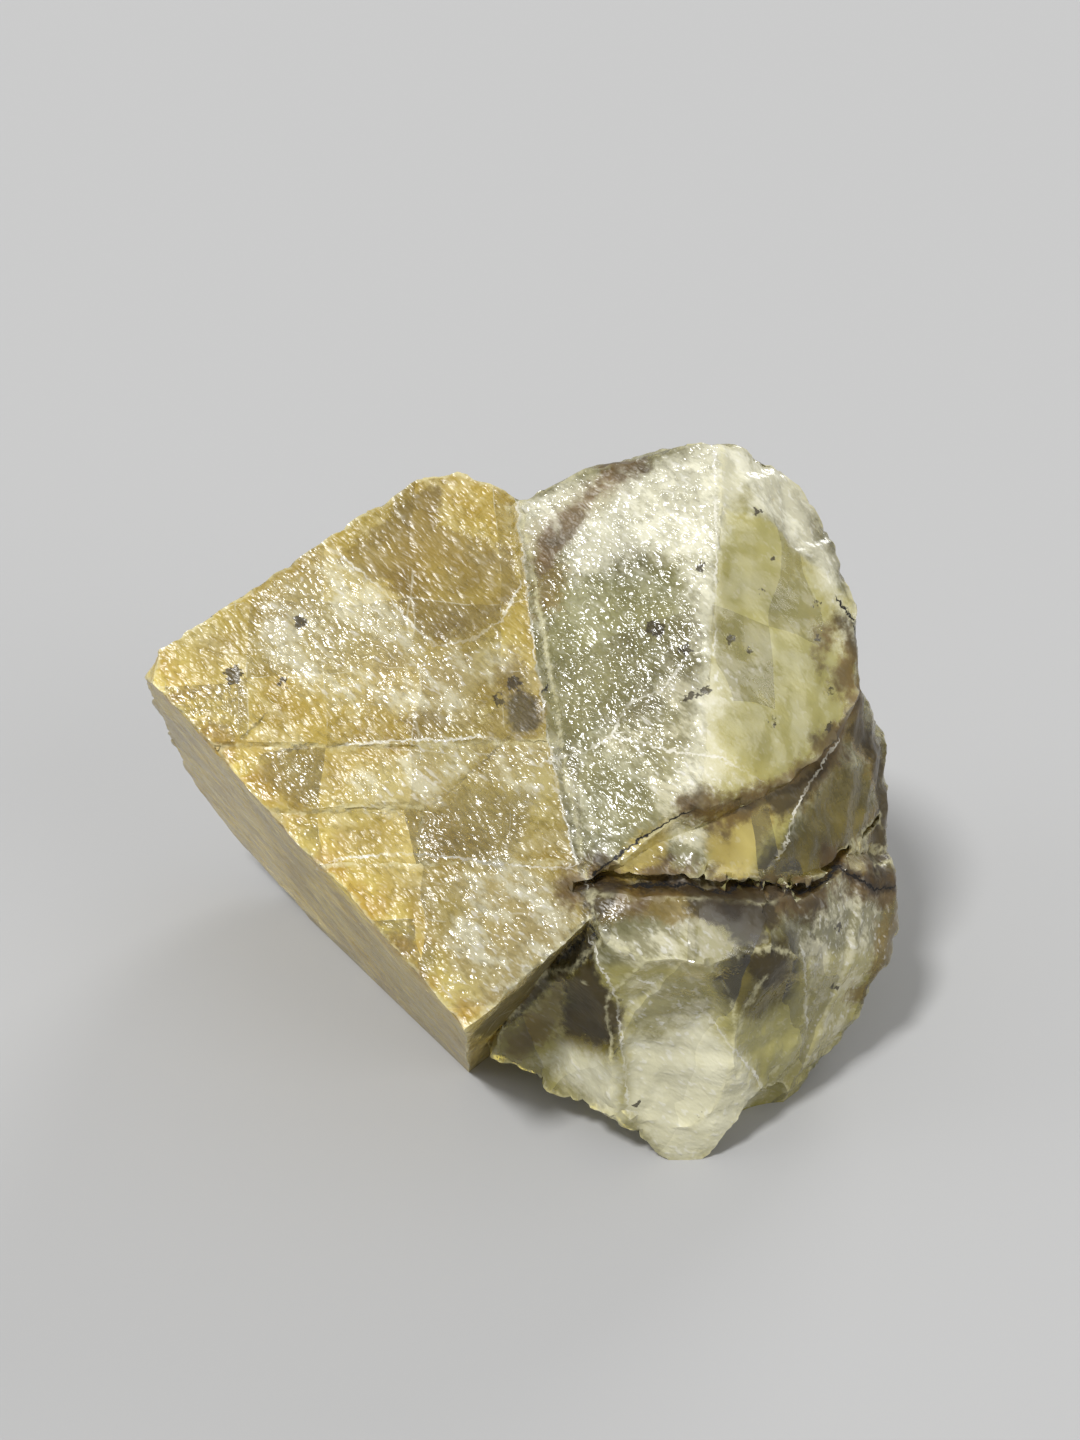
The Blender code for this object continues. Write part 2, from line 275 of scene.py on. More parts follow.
LIGHT_LINES = {
    "seam": [
        (-1.0, 43.4), (-0.3, 38.1), (0.4, 31.3), (1.4, 24.7), (2.5, 19.1), (3.6, 14.3),
        (4.5, 11.8),
    ],
    "left ridge of the foot": [
        (4.8, 7.2), (6.1, 4.8), (7.2, 2.4), (7.6, -1.2), (7.9, -4.6), (8.7, -8.1),
    ],
    "right ridge of the foot": [
        (13.8, 1.6), (15.2, 0.3), (16.3, -1.3), (18.0, -3.5), (20.0, -6.6),
    ],
    "bright long flaw": [(-14.7, 22.9), (-11.0, 23.0), (-7.1, 23.1), (-3.8, 23.4)],
    "lower flaw": [(-16.8, 12.8), (-14.9, 13.7), (-8.6, 14.1), (-3.0, 13.4), (3.4, 12.9)],
    "scar": [
        (-16.5, 39.0), (-13.9, 37.0), (-11.8, 35.3), (-9.9, 32.9), (-7.5, 30.8),
        (-4.7, 31.3), (-2.3, 32.8), (-0.8, 35.5),
    ],
    "green step": [
        (1.7, 21.3), (4.8, 22.2), (6.8, 23.5), (8.3, 26.1), (10.9, 27.1), (13.1, 30.3),
    ],
    "lower green step": [
        (6.5, 23.3), (9.0, 22.9), (11.2, 22.3), (15.5, 21.7), (18.7, 19.9),
    ],
    "grey facets": [(25.9, 22.9), (24.1, 20.6), (22.3, 18.1), (20.9, 15.0), (19.4, 12.8)],
    "scratches": [(8.6, 4.4), (10.3, 3.6)],
    "right scratch": [(22.3, 6.2), (23.0, 2.2), (23.2, -0.8)],
    "crest of the crystal": [(15.4, 46.8), (15.3, 40.0), (15.2, 34.0), (15.1, 30.4)],
}
RUSTY_LINES = {
    "under the green crystal": [
        (13.0, 17.6), (16.2, 17.3), (18.7, 18.3), (21.5, 19.6), (23.7, 20.7), (25.6, 22.6),
    ],
    "right rim": [
        (24.5, 31.3), (26.2, 29.4), (26.9, 27.2), (26.6, 25.0), (25.6, 22.9),
    ],
    "across the seam": [(8.0, 45.9), (6.0, 43.9), (3.9, 42.2), (2.3, 40.5), (1.2, 38.0)],
    "open crack": DARK_LINES["open crack"],
    "crack to the rim": DARK_LINES["crack to the rim"],
}
dark_near, dark_line = to_lines(DARK_LINES)
light_near, light_line = to_lines(LIGHT_LINES)
rusty_near, _ = to_lines(RUSTY_LINES)
print("points within half a millimetre of a line:",
      int(((dark_near < 0.5) | (light_near < 0.5)).sum()))

# %% [markdown]
# ## Amber or green
# Seen from the front, the two crystals meet along a nearly straight seam. The cube alone
# would give a border that runs a little beside it, so above the crack the side of the
# drawn seam decides, and everywhere else the cube does.

# %% Part the amber crystal from the green one at the seam
CRACK_TOP = 12
CUBE_SLACK = 2.5
GROWN_FROM, GROWN_OVER = 0.96, 0.03
_, seam_side = to_lines({"seam": LIGHT_LINES["seam"]})
above_crack = (front > 0) & (chart[:, 1] > CRACK_TOP)
amber_depth = np.where(
    above_crack, np.minimum(-seam_side, in_cube_by + CUBE_SLACK), in_cube_by)
amber = np.clip(amber_depth * 4 + 0.5, 0, 1)
cube_side = np.abs(facing @ cube_axes.T).max(axis=1)
flank = amber * np.clip(1.2 - 1.4 * np.abs(facing @ cube_axes[2]), 0, 1)
grown = np.maximum(
    amber * np.clip((cube_side - GROWN_FROM) / GROWN_OVER, 0, 1),
    (1 - amber) * np.maximum(etched_face, glassy_face),
)
print("amber share %.2f, grown faces %.2f" % (amber.mean(), grown.mean()))

# %% [markdown]
# ## Patches on the front
# The colours of the stone lie in patches with edges of their own: brown where iron stains
# it, dark where it is stained and where shade is painted into the hollows, under the cube
# and under the crack, olive and deep where it is clear, gold in honey-coloured blocks,
# frost and cream where the surface is cloudy, and painted highlights in the cream at the
# top and down the crest. Each patch is a closed outline on the chart.

# %% Brown, olive, deep and dark patches
BROWN_PATCHES = {
    "upper amber facet": [
        (-15.4, 38.4), (-12.6, 41.4), (-9.4, 44.4), (-6.6, 45.6), (-7.6, 41.0), (-2.4, 39.4),
        (-1.2, 38.1), (-0.8, 35.5), (-2.3, 32.8), (-4.7, 31.3), (-7.5, 30.9), (-9.9, 33.4),
        (-11.8, 35.5), (-13.9, 37.0),
    ],
    "beside the seam": [
        (-2.9, 28.0), (-1.0, 30.3), (0.0, 29.2), (0.6, 26.3), (1.3, 23.2), (-1.8, 22.9),
        (-3.8, 23.9), (-2.2, 25.9),
    ],
    "small": [(-10.2, 25.0), (-7.1, 25.4), (-6.3, 23.9), (-9.5, 23.2)],
    "across the seam": [
        (-0.3, 40.6), (2.7, 42.6), (5.2, 44.2), (7.9, 45.7), (7.5, 43.8), (5.2, 41.7),
        (2.7, 40.1), (0.6, 37.0), (0.4, 33.0), (2.4, 34.0), (2.6, 37.0), (1.0, 38.4),
    ],
    "strip down to the right": [
        (19.5, 18.0), (22.4, 19.8), (25.9, 22.4), (24.7, 19.7), (22.8, 17.2), (20.5, 16.1),
    ],
    "right edge": [
        (27.0, 23.4), (28.0, 26.4), (30.9, 22.5), (31.3, 17.7), (30.9, 11.0), (28.7, 9.8),
        (27.6, 12.0), (29.5, 15.3), (29.8, 18.7), (28.7, 20.8),
    ],
    "under the crack": [
        (4.4, 11.2), (8.9, 11.4), (17.0, 11.1), (22.1, 10.4), (21.1, 9.0), (17.6, 7.3),
        (15.2, 8.6), (13.6, 9.4), (9.7, 8.9), (5.7, 8.4),
    ],
    "left of the foot": [
        (-2.3, -2.4), (1.0, 1.7), (3.4, 5.1), (3.6, 2.0), (2.3, -2.1), (0.2, -3.8),
        (-1.9, -3.6),
    ],
    "right rim of the foot": [
        (30.6, 9.3), (31.8, 7.2), (31.4, 3.3), (28.8, -0.9), (27.6, 0.9), (29.2, 4.3),
        (30.0, 6.8),
    ],
}
OLIVE_PATCHES = {
    "face beyond the crest": [
        (15.3, 40.1), (18.2, 41.7), (20.6, 40.8), (22.4, 37.9), (24.5, 33.8), (25.5, 30.5),
        (26.0, 27.0), (25.2, 23.4), (22.2, 21.4), (19.8, 20.2), (16.6, 22.3), (15.4, 25.0),
        (15.2, 30.3),
    ],
    "heart of the green face": [
        (1.2, 30.0), (2.4, 34.4), (6.0, 36.6), (9.6, 37.0), (12.4, 36.4), (12.0, 31.5),
        (9.0, 26.5), (6.4, 24.2), (3.4, 22.2), (2.0, 24.0),
    ],
    "top of the tongue": [
        (6.9, 5.1), (10.5, 4.8), (14.0, 5.0), (15.1, 2.4), (13.9, 0.6), (9.9, -0.3),
        (7.9, 0.4),
    ],
    "low in the right hollow": [
        (14.9, 3.2), (22.0, 4.1), (23.0, 0.7), (22.2, -3.8), (21.0, -7.1), (19.6, -5.9),
        (17.2, -1.5), (14.8, 1.5),
    ],
}
DEEP_PATCHES = {
    "facets beyond the crack": [
        (17.8, 12.1), (19.6, 14.6), (22.1, 16.2), (24.3, 18.9), (25.9, 21.2), (28.9, 20.3),
        (30.3, 17.0), (30.1, 14.6), (25.0, 12.0), (22.3, 10.8), (19.5, 11.4),
    ],
    "left hollow": [
        (5.0, 7.0), (6.3, 3.7), (7.3, 1.5), (7.6, -2.9), (5.1, -2.8), (2.7, -2.1),
        (3.6, 2.0), (4.2, 5.6),
    ],
    "right hollow": [
        (14.9, 4.2), (16.0, 5.9), (18.6, 7.4), (21.1, 7.9), (22.0, 5.1), (21.6, 1.7),
        (18.6, 0.2), (16.0, 2.0),
    ],
}
# Dark patches are partly dark stain and partly painted shade in the hollows, under the cube
# and under the crack.
SHADE_AND_STAIN_PATCHES = {
    "under the cube": [
        (5.2, 9.2), (5.2, 5.8), (3.0, 3.8), (-0.1, 0.8), (-3.2, -1.9), (-4.2, -0.3),
        (-1.4, 3.0), (1.6, 6.0),
    ],
    "under the crack": [
        (12.4, 11.4), (20.6, 11.0), (20.2, 8.6), (18.6, 6.9), (16.6, 6.6), (15.2, 8.2),
        (13.2, 9.8),
    ],
    "corner of the crack": [(4.2, 11.4), (7.4, 11.4), (6.4, 9.6), (4.6, 8.6)],
    "strip down to the right": [
        (19.5, 18.2), (22.4, 20.0), (25.9, 22.4), (24.7, 20.0), (22.6, 17.6), (20.7, 16.6),
    ],
    "right edge": [
        (27.4, 23.8), (28.2, 25.8), (30.9, 22.5), (31.3, 17.7), (30.9, 11.0), (29.0, 10.2),
        (28.8, 13.0), (30.0, 15.3), (30.2, 18.7), (29.0, 21.4),
    ],
    "left hollow": [
        (5.0, 6.8), (6.3, 3.9), (7.2, 1.5), (7.4, -1.6), (5.0, -1.9), (3.0, -0.8),
        (2.8, 1.8), (3.6, 5.0),
    ],
    "top of the right hollow": [(16.6, 5.6), (20.4, 7.0), (20.8, 4.4), (18.8, 2.8)],
    "beside the seam": [
        (-1.6, 26.2), (-0.3, 28.4), (0.5, 26.0), (1.0, 23.9), (-1.0, 23.8),
    ],
}

# %% Gold, frost and cream patches
GOLD_PATCHES = {
    "left corner": [
        (-30.9, 28.0), (-26.9, 31.3), (-24.6, 31.0), (-23.6, 27.1), (-22.9, 25.1),
        (-23.6, 22.7), (-24.6, 21.7), (-27.5, 24.3),
    ],
    "clear block": [
        (-7.0, 17.8), (-4.9, 19.4), (0.2, 18.6), (-0.3, 15.9), (-2.2, 13.4), (-6.9, 13.4),
        (-15.7, 13.9), (-18.2, 15.9), (-12.8, 16.6),
    ],
    "honey block": [
        (-21.4, 21.8), (-14.7, 22.6), (-12.3, 21.9), (-14.3, 20.3), (-14.6, 18.3),
        (-18.2, 17.8), (-21.4, 19.9),
    ],
    "low block": [
        (-17.3, 12.3), (-14.5, 13.3), (-10.1, 12.7), (-7.7, 11.2), (-8.0, 8.2),
        (-6.8, 5.9), (-8.4, 4.2), (-12.5, 8.4),
    ],
    "amber window": [
        (5.1, 12.3), (7.8, 14.4), (10.5, 16.1), (11.8, 16.8), (11.5, 14.3), (11.2, 12.0),
        (7.4, 11.7),
    ],
    "second window": [
        (14.8, 17.2), (19.5, 17.7), (19.8, 16.6), (18.1, 14.3), (17.4, 12.2), (15.0, 12.0),
        (14.1, 14.3),
    ],
}
FROST_PATCHES = {
    "middle of the amber face": [
        (-21.9, 34.6), (-18.1, 37.6), (-14.8, 38.0), (-11.8, 35.0), (-8.0, 30.4),
        (-0.6, 30.5), (-1.6, 28.0), (-3.9, 27.2), (-6.3, 24.7), (-10.4, 25.6),
        (-14.4, 26.3), (-18.5, 27.1), (-20.7, 29.6),
    ],
    "white block": [
        (-14.1, 20.0), (-11.9, 21.9), (-7.1, 22.9), (-2.4, 22.9), (-4.6, 20.7),
        (-7.3, 18.1), (-12.6, 17.3), (-14.2, 18.3),
    ],
    "white square": [
        (-2.2, 22.7), (1.2, 22.7), (2.0, 19.1), (0.7, 18.6), (-4.6, 19.5), (-4.0, 20.8),
    ],
    "low pale": [
        (-6.9, 12.0), (-2.2, 13.1), (2.6, 12.0), (4.4, 8.0), (1.0, 3.5), (-3.0, 0.7),
        (-6.0, 2.9), (-6.6, 7.4), (-4.5, 9.3),
    ],
    "frost patch": [
        (9.1, 26.3), (11.0, 28.2), (15.2, 30.2), (18.8, 28.9), (16.7, 26.3), (13.8, 25.0),
        (13.0, 22.3), (9.0, 21.5), (6.6, 22.9),
    ],
    "low frost": [
        (9.0, 21.9), (13.8, 21.4), (18.7, 19.4), (13.7, 17.9), (10.7, 17.0), (10.0, 19.0),
    ],
    "along the seam": [(1.9, 23.0), (3.4, 20.9), (5.6, 12.6), (4.7, 12.0), (2.6, 19.0)],
    "white in the window": [
        (11.8, 16.9), (14.8, 17.3), (13.8, 14.3), (15.0, 12.0), (11.4, 12.0),
    ],
    "top of the tongue": [
        (8.2, 4.6), (13.8, 4.6), (14.6, 1.8), (13.9, 0.2), (9.9, -0.6), (8.0, 0.0),
    ],
    "brow": [
        (5.7, 8.1), (9.7, 8.6), (13.6, 9.2), (15.4, 8.0), (16.8, 6.9), (14.0, 5.4),
        (10.5, 5.0), (7.7, 5.8),
    ],
    "right of the foot": [
        (22.1, 10.3), (26.4, 11.4), (30.3, 10.1), (31.0, 6.6), (28.3, -0.3), (24.7, -6.1),
        (23.5, -4.0), (23.9, 0.6), (22.4, 5.3),
    ],
}
# Cream is the cloudy, frosted surface; at the top and in the bright column by the crest it
# is a painted highlight.
CREAM_AND_HIGHLIGHT_PATCHES = {
    "top": [
        (-1.0, 42.8), (2.7, 43.8), (9.3, 45.9), (15.9, 48.4), (18.7, 47.4), (19.2, 44.6),
        (16.4, 41.6), (15.3, 36.8), (14.0, 37.7), (10.8, 38.4), (6.8, 37.4), (4.3, 36.7),
        (3.4, 38.8), (0.2, 39.0),
    ],
    "bright column": [
        (12.8, 37.7), (15.3, 39.3), (15.2, 31.1), (14.9, 26.5), (14.9, 20.5), (13.3, 18.3),
        (11.9, 19.3), (13.2, 23.1), (13.0, 26.7), (13.9, 29.1), (13.5, 33.5),
    ],
    "right rim": [
        (18.7, 47.4), (22.4, 45.2), (23.8, 42.2), (25.7, 38.4), (25.9, 35.5), (27.9, 33.1),
        (27.4, 30.1), (25.9, 31.3), (24.9, 34.6), (22.9, 37.9), (20.6, 41.2), (18.4, 42.2),
        (17.9, 45.3),
    ],
    "low left of the foot": [
        (0.2, -4.0), (2.7, -2.3), (7.7, -2.9), (8.0, -7.8), (6.0, -7.5), (3.5, -5.5),
    ],
    "tongue": [
        (7.8, -0.4), (9.9, -0.5), (14.3, 0.4), (16.3, -1.3), (20.0, -7.0), (17.1, -9.9),
        (13.4, -12.0), (11.3, -11.4), (9.2, -8.2), (7.9, -6.3),
    ],
}

# %% Specks: right, up, radius
SPECKS = [
    (-24.1, 28.5, 0.80), (-20.0, 27.8, 0.47), (-18.7, 32.7, 0.57), (-1.2, 27.7, 0.57),
    (-2.3, 26.2, 0.47), (10.3, 32.1, 0.75), (12.6, 30.3, 0.50), (18.8, 41.7, 0.38),
    (16.4, 31.2, 0.38), (18.0, 30.4, 0.38), (23.8, 34.4, 0.32), (23.6, 31.5, 0.28),
    (24.6, 27.2, 0.28), (24.8, 24.3, 0.45), (19.8, 24.5, 0.38), (13.0, 26.8, 0.50),
    (14.2, 27.1, 0.60), (25.9, 7.7, 0.38), (26.0, 2.5, 0.28), (14.2, -7.3, 0.26),
    (9.2, -6.7, 0.26), (14.0, 37.0, 0.38), (18.9, 35.3, 0.22), (20.2, 37.8, 0.22),
]
speck_depth = np.full(count, -1.0)
for x, y, radius in SPECKS:
    speck_depth = np.maximum(speck_depth, radius - np.hypot(*(chart - (x, y)).T))
speck_depth = np.where(front > 0, speck_depth, -1.0)

# %% Turn the outlines into depths
FOOT_TOP = 6.0
in_foot = np.clip(FOOT_TOP - chart[:, 1], 0, 1) * front * (1 - amber)
(brown_depth, olive_depth, deep_depth, shade_and_stain_depth,
 gold_depth, frost_depth, cream_and_highlight_depth) = (
    in_outlines(patches) for patches in (
        BROWN_PATCHES, OLIVE_PATCHES, DEEP_PATCHES, SHADE_AND_STAIN_PATCHES,
        GOLD_PATCHES, FROST_PATCHES, CREAM_AND_HIGHLIGHT_PATCHES)
)
print("share of the skin in a brown patch: %.2f" % ((brown_depth > 0) & (front > 0)).mean())

# %% [markdown]
# ## The relief
# Fluorite splits along four sets of planes that cut the corners off its cube, so a broken
# face is a stair of small flat steps. Along each set the distance from the middle is
# counted in planes; between two planes the skin rises evenly, and at the next it drops
# back. Three such stairs laid over one another give the facets. Grown faces keep only a
# trace of them. A little smooth noise takes the ruler-straightness out.

# %% Smooth noise and the sets of cleavage planes
def wander(points, size, seed, octaves=3):
    """Smooth noise, about -1 to 1, for each point."""
    shift = Vector((seed, -seed * 0.6, seed * 1.7))
    return np.array([
        noise.fractal(Vector(p) / size + shift, 0.8, 2.0, octaves) for p in points
    ])


PLANES = [Vector(v).normalized() for v in ((1, 1, 1), (-1, 1, 1), (1, -1, 1))]
WIDE_BLOCK, SMALL_BLOCK = 7.5, 2.4
UNEVEN, SWAY = 0.3, 0.12
wide_noise = np.clip(0.5 + 1.1 * wander(place, 8.0, 137.0, 2), 0, 1)
skin_sway = (wide_noise - 0.5) * SWAY
in_lattice = place @ cube_axes.T


def stairs(spacing, drop):
    """The height of steps that climb between two planes and drop over a short way."""
    height = np.zeros(count)
    for i, plane in enumerate(PLANES):
        steps = in_lattice @ np.array(plane) / spacing
        steps = steps + UNEVEN * np.sin(steps * 2.1 + i * 1.9) + skin_sway
        share = steps - np.floor(steps)
        level = np.sin(np.floor(steps) * 12.9 + i * 4.1)
        climb = np.where(share < 1 - drop, share / (1 - drop), (1 - share) / drop)
        height += (climb - 0.5) * (0.75 + 0.5 * level)
    return height


# %% Break the skin into steps
WIDE_DROP, SMALL_DROP = 0.11, 0.25
WIDE_TRACE, WIDE_STEP = 0.03, 0.27
SMALL_TRACE, SMALL_STEP = 0.02, 0.09
GRAIN_TRACE, GRAIN = 0.04, 0.06
broken = 1 - grown
stepped = np.clip(broken - 0.55 * amber * front, 0, 1)
height = (WIDE_TRACE + WIDE_STEP * stepped) * stairs(WIDE_BLOCK, WIDE_DROP)
height += (SMALL_TRACE + SMALL_STEP * stepped) * stairs(SMALL_BLOCK, SMALL_DROP)
height += (GRAIN_TRACE + GRAIN * broken) * wander(place, 1.5, 5.0)
print("steps from %.2f to %.2f mm" % (height.min(), height.max()))

# %% [markdown]
# ## Chips, cracks and raised seams
# Noise bites into the ridges and fades out a millimetre away from them. A crack is a soft
# groove around its chain, a healed seam is a low rib, and the clear honey blocks lie a
# little lower than the frosted ones around them.

# %% Chip the ridges and cut the cracks
CHIP_REACH = 1.1
GROOVE_DEPTH, GROOVE_WIDTH = 0.14, 0.45
RIB_HEIGHT, RIB_WIDTH = 0.10, 0.35
GOLD_SINK, FROST_RISE = 0.12, 0.05
CHIP_DEPTH, CHIP_MORE = 0.30, 0.25
chips = np.clip(1 - to_edge / CHIP_REACH, 0, 1) ** 1.5
bite = np.clip(0.35 + wander(place, 1.9, 21.0, 4), 0, 1) ** 1.6
height -= chips * bite * (CHIP_DEPTH + CHIP_MORE * broken) * (1 - 0.4 * amber)
height -= GROOVE_DEPTH * np.exp(-((dark_near / GROOVE_WIDTH) ** 2)) * (1 - 0.5 * amber)
height += RIB_HEIGHT * np.exp(-((light_near / RIB_WIDTH) ** 2)) * broken
height -= GOLD_SINK * np.clip(gold_depth * 2, 0, 1) * amber * front
height += FROST_RISE * np.clip(frost_depth * 3, 0, 1) * amber * front
print("relief from %.2f to %.2f mm" % (height.min(), height.max()))

# %% Move the skin and keep the resting face level
LOOSE_FROM = 1.5
WAVE, WAVE_MORE = 0.10, 0.22
CREASE = math.radians(32)
wobble = np.stack([wander(place, 7.0, seed) for seed in (31.0, 47.0, 59.0)], axis=1)
loose = np.clip(place[:, 2] / LOOSE_FROM, 0, 1)
moved = place + facing * (height * loose)[:, None]
moved += wobble * (WAVE + WAVE_MORE * broken)[:, None] * loose[:, None]
low, high = (np.array(corner) / MM for corner in packed_box)
moved = np.clip(moved, low, high)
stone.data.vertices.foreach_set("co", (moved * MM).ravel())
stone.data.update()
stone.data.polygons.foreach_set("use_smooth", [True] * len(stone.data.polygons))
stone.data.set_sharp_from_angle(angle=CREASE)
print("skin moved by up to %.2f mm" % np.linalg.norm(moved - place, axis=1).max())

# %% [markdown]
# ## Keep what the finish needs
# A shader reads numbers that are stored on the mesh. The distances are kept rather than
# finished masks, because a distance stays smooth between two points of the net, and the
# shader can still roughen the border with noise as fine as it likes. The sides and the
# back have no chart, so slow noise stands in for the depth inside a patch there.

# %% Two ways to store a number on every point
PATCH_REACH = 4


def store(name, values):
    """Keep one number for each point of the net under a name."""
    layer = stone.data.attributes.new(name, "FLOAT", "POINT")
    layer.data.foreach_set("value", values.astype(np.float32))


def with_back(depth, size, seed, threshold, where=1.0):
    """The chart's depth at the front and a cloud of patches everywhere else."""
    cloud = (wander(place, size, seed, 3) - threshold) * 5
    cloud = cloud * where - PATCH_REACH * (1 - where)
    depth, cloud = (np.clip(d, -PATCH_REACH, PATCH_REACH) for d in (depth, cloud))
    return front * depth + (1 - front) * cloud


# %% Store the crystals, their faces and slow noise
LIT_REACH = 4.0
store("amber", amber)
store("ridge", np.clip(to_edge, 0, 5))
store("speck", speck_depth)
# A painted highlight: a golden band along the lower left edge of the amber cube.
to_lit_edge = np.hypot(in_cube[:, 1], in_cube[:, 2])
store("lit_edge", amber * np.clip(1 - to_lit_edge / LIT_REACH, 0, 1))
store("etched", np.clip(
    0.4 + 0.5 * amber * front + 0.6 * etched_face - 0.32 * glassy_face, 0, 1))
store("glassy", np.clip(
    glassy_face * (1 - amber) + in_foot + 0.6 * (1 - front) + 0.4 * flank, 0, 1))
store("flank", flank)
store("slow", 0.5 + 0.45 * wander(place, 3.6, 131.0, 4))
store("wide", wide_noise)
store("fades", np.clip(0.5 + 1.6 * wander(place, 2.4, 139.0, 3), 0, 1))

# %% Store the patches and the lines
LINE_REACH = 6
store("brown", with_back(brown_depth, 11.0, 71.0, 0.62))
store("olive", with_back(olive_depth, 15.0, 79.0, 0.10))
store("deep", with_back(deep_depth, 13.0, 83.0, 0.45))
store("shade", with_back(shade_and_stain_depth, 7.0, 89.0, 0.95))
store("gold", with_back(gold_depth, 12.0, 97.0, 0.55, amber))
store("frost", with_back(frost_depth, 10.0, 103.0, 0.25))
store("cream", with_back(cream_and_highlight_depth, 15.0, 109.0, 0.50))
for name, near in (("dark", dark_near), ("light", light_near), ("rusty", rusty_near)):
    store(name + "_near", np.clip(near, 0, LINE_REACH))
for name, sided in (("dark", dark_line), ("light", light_line)):
    store(name + "_line", np.clip(sided, -LINE_REACH, LINE_REACH))
print("stored:", ", ".join(a.name for a in stone.data.attributes if a.data_type == "FLOAT"))

# %% [markdown]
# ## Sums with sockets
# A long material is hard to follow as a web of nodes. With a small class around a socket,
# one line of arithmetic adds its Math nodes by itself, and the finish reads as a recipe.

# %% A socket that can be added, taken away and multiplied
class Wire:
    """A socket of a material that takes part in ordinary sums."""

    def __init__(self, bench, socket):
        self.bench, self.socket = bench, socket

    def __add__(self, other):
        return self.bench.sum_of("ADD", self, other)

    def __sub__(self, other):
        return self.bench.sum_of("SUBTRACT", self, other)

    def __rsub__(self, other):
        return self.bench.sum_of("SUBTRACT", other, self)

    def __mul__(self, other):
        return self.bench.sum_of("MULTIPLY", self, other)

    def __abs__(self):
        return self.bench.sum_of("ABSOLUTE", self)

    __radd__, __rmul__ = __add__, __mul__


# %% A bench on which a material is put together
class Bench:
    """The node tree of one material, with short ways to add to it."""

    def __init__(self, name):
        self.material = bpy.data.materials.new(name)
        self.material.use_nodes = True
        self.tree = self.material.node_tree
        self.tree.nodes.clear()

    def node(self, kind, settings=None, inputs=None, output=0):
        """Add a node: its settings first, then the values or links of its sockets."""
        made = self.tree.nodes.new("ShaderNode" + kind)
        for name, value in (settings or {}).items():
            setattr(made, name, value)
        for key, value in (inputs or {}).items():
            if isinstance(value, Wire):
                self.tree.links.new(value.socket, made.inputs[key])
            else:
                made.inputs[key].default_value = value
        return Wire(self, made.outputs[output]) if len(made.outputs) else made

    def sum_of(self, operation, *terms):
        """One Math node, on numbers or on other sockets."""
        return self.node("Math", {"operation": operation}, dict(enumerate(terms)))

    def kept(self, name):
        """A number that is stored on the mesh."""
        return self.node("Attribute", {"attribute_name": name}, output="Fac")

    def between(self, value, low, high):
        """Nought below low, one above high, and a soft climb between them."""
        return self.node("MapRange", {"interpolation_type": "SMOOTHSTEP"},
                         {0: value, 1: low, 2: high, 3: 0.0, 4: 1.0})

    def mix(self, share, first, second):
        """A colour that goes from the first to the second."""
        return self.node("Mix", {"data_type": "RGBA"}, {0: share, 6: first, 7: second}, 2)

    def clouds(self, where, size, detail=2.0, rough=0.55):
        """Noise from 0 to 1 whose lumps are about size millimetres wide."""
        return self.node("TexNoise", inputs={
            "Vector": where, "Scale": 1 / size, "Detail": detail, "Roughness": rough})

    def along(self, where, direction):
        """How far a place lies along a direction."""
        return self.node("VectorMath", {"operation": "DOT_PRODUCT"},
                         {0: where, 1: tuple(direction)}, "Value")


# %% Colours as they look on a screen
def tone(red, green, blue):
    """A colour from 0-255 screen values, as light adds it up."""
    values = (c / 255 for c in (red, green, blue))
    return (*(c / 12.92 if c <= 0.04045 else ((c + 0.055) / 1.055) ** 2.4
              for c in values), 1.0)


print("the middle grey of a screen is %.3f as light" % tone(128, 128, 128)[0])

# %% [markdown]
# ## The finish: rulers and masks
# The real stone is cloudy, with clearer windows that show its depth, veils of white
# healed cracks, and iron stains that creep in from the cracks. Every mask below starts
# from a stored distance and gets its border torn by fine noise.

# %% Rulers for the noise, in millimetres
IN_MM = (1000, 1000, 1000)
STREAK_TURN = math.radians(38)
finish = Bench("fluorite")
raw = finish.node("TexCoord", output="Object")
here = finish.node("Mapping", inputs={"Vector": raw, "Scale": IN_MM})
in_amber = finish.node("Mapping", inputs={
    "Vector": raw, "Scale": IN_MM, "Rotation": Matrix(cube_axes.tolist()).to_euler()})
streaked = finish.node("Mapping", inputs={
    "Vector": in_amber, "Rotation": (0, 0, STREAK_TURN), "Scale": (1.0, 0.42, 1.0)})
brushed = finish.node("Mapping", inputs={"Vector": in_amber, "Scale": (0.13, 1.0, 1.0)})
tear = finish.clouds(here, 0.55, 2.0, 0.65) - 0.5
etch = finish.clouds(streaked, 0.43, 1.5, 0.5)
slow, wide, fades, etched, glassy, flank = (
    finish.kept(name) for name in ("slow", "wide", "fades", "etched", "glassy", "flank"))
print("rulers:", len(finish.tree.nodes), "nodes")


# %% Masks from the stored distances
def patch(name, softness, ragged=1.6):
    """One inside a patch, nought outside, with a torn border."""
    return finish.between(
        finish.kept(name) + tear * ragged + (slow - 0.5) * ragged, -softness, softness)


def line(name, width, ragged=0.35):
    """One on a line of the given half width in millimetres."""
    close = finish.between(finish.kept(name + "_near"), width + 0.5, width + 0.25)
    return close * finish.between(
        abs(finish.kept(name + "_line") + tear * ragged), width, width * 0.3)


